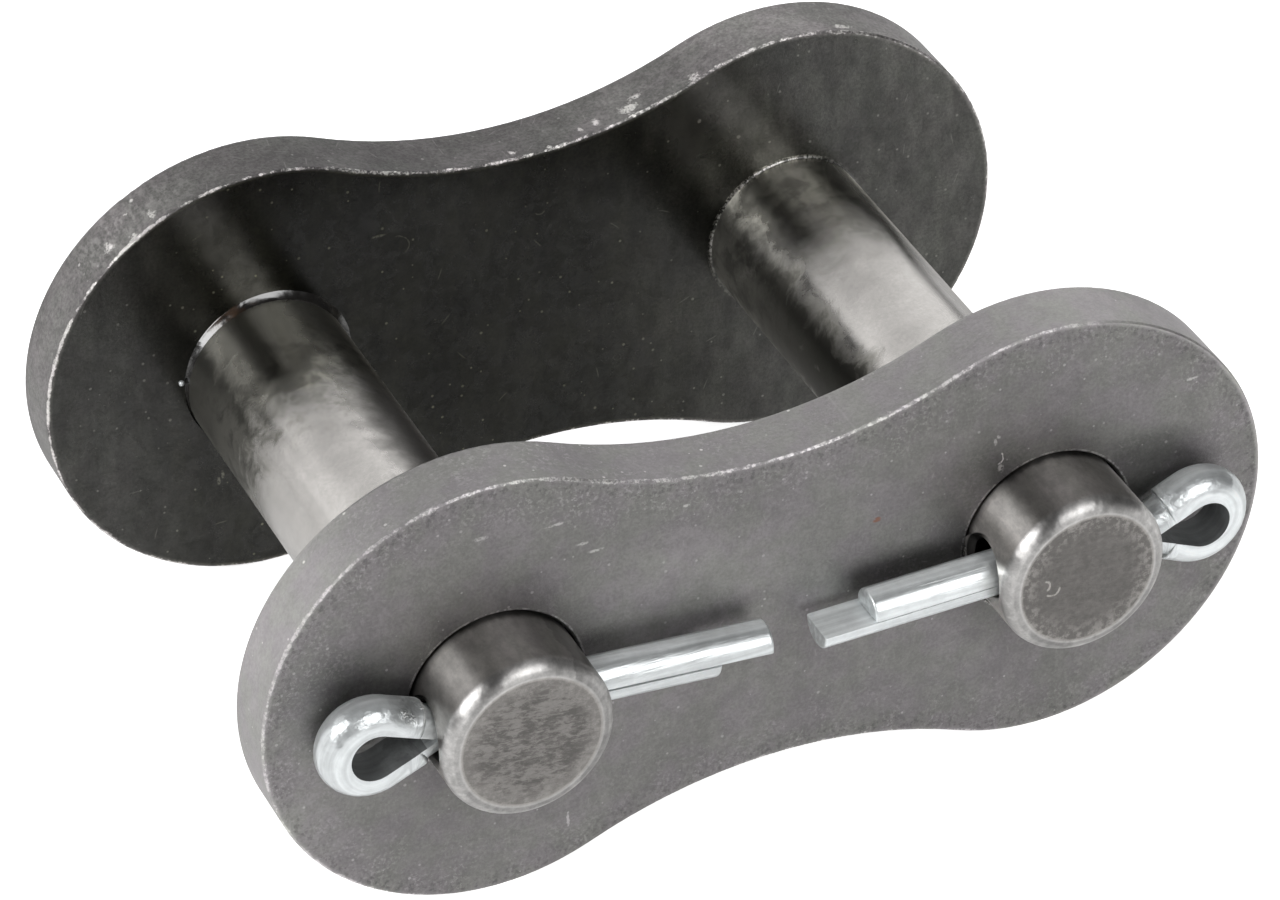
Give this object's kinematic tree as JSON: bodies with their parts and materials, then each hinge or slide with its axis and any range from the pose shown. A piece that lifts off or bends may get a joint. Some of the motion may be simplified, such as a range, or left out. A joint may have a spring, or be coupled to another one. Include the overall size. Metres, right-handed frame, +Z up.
{
  "type": "chain connecting link",
  "caption": "Steel connecting link that joins the ends of a roller chain: waisted side plates on round pins, held by split pins through the pin ends.",
  "frame": {"origin": "middle of the link: halfway between the pin axes and halfway between the side plates", "axes": "+X along the chain, +Y along the pins towards the riveted heads, +Z up as the link stands on the edges of its plates"},
  "size_m": [0.0574, 0.0412, 0.0256],
  "materials": {
    "plate_steel": "tumbled, oiled, matt grey-brown",
    "ground_steel": "ground and polished, satin",
    "zinc_plate": "bright zinc plated"
  },
  "bodies": {
    "root": {"pin_plate": "plate_steel", "cover_plate": "plate_steel", "left_link_pin": "ground_steel", "right_link_pin": "ground_steel", "left_split_pin": "zinc_plate", "right_split_pin": "zinc_plate"}
  },
  "joints": []
}
